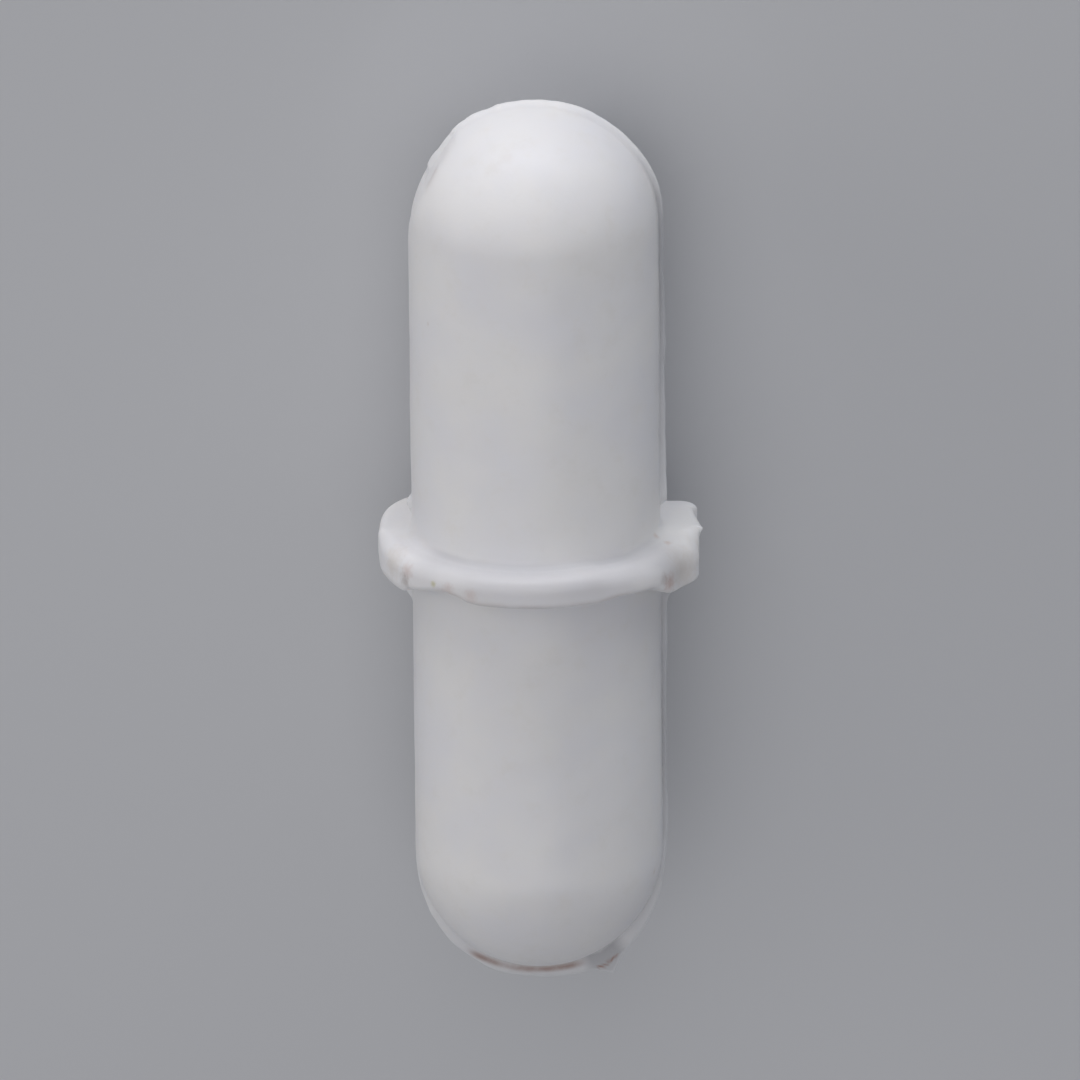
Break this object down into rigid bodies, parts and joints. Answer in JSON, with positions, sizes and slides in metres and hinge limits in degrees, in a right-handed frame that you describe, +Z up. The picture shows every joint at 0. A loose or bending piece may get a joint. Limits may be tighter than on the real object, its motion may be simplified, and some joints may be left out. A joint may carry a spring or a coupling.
{
  "type": "magnetic stir bar",
  "caption": "Capsule-shaped magnetic stir bar with round ends and a moulded pivot ring at mid-length, a bar magnet sealed in white PTFE.",
  "frame": {"origin": "on the surface that the bar lies on, straight below the middle of its length", "axes": "+Z up; +Y along the bar towards the end that rests on the surface; +X to the side that carries the full-length flash and the squared gate stub"},
  "size_m": [0.0091, 0.0262, 0.0089],
  "materials": {
    "ptfe": "moulded white PTFE, satin, slightly translucent, with flash left at the parting line and faint brown stains",
    "magnet_alloy": "bare cast magnet alloy, dull grey, ground on its side"
  },
  "bodies": {
    "root": {"jacket": "ptfe", "magnet": "magnet_alloy"}
  },
  "joints": []
}
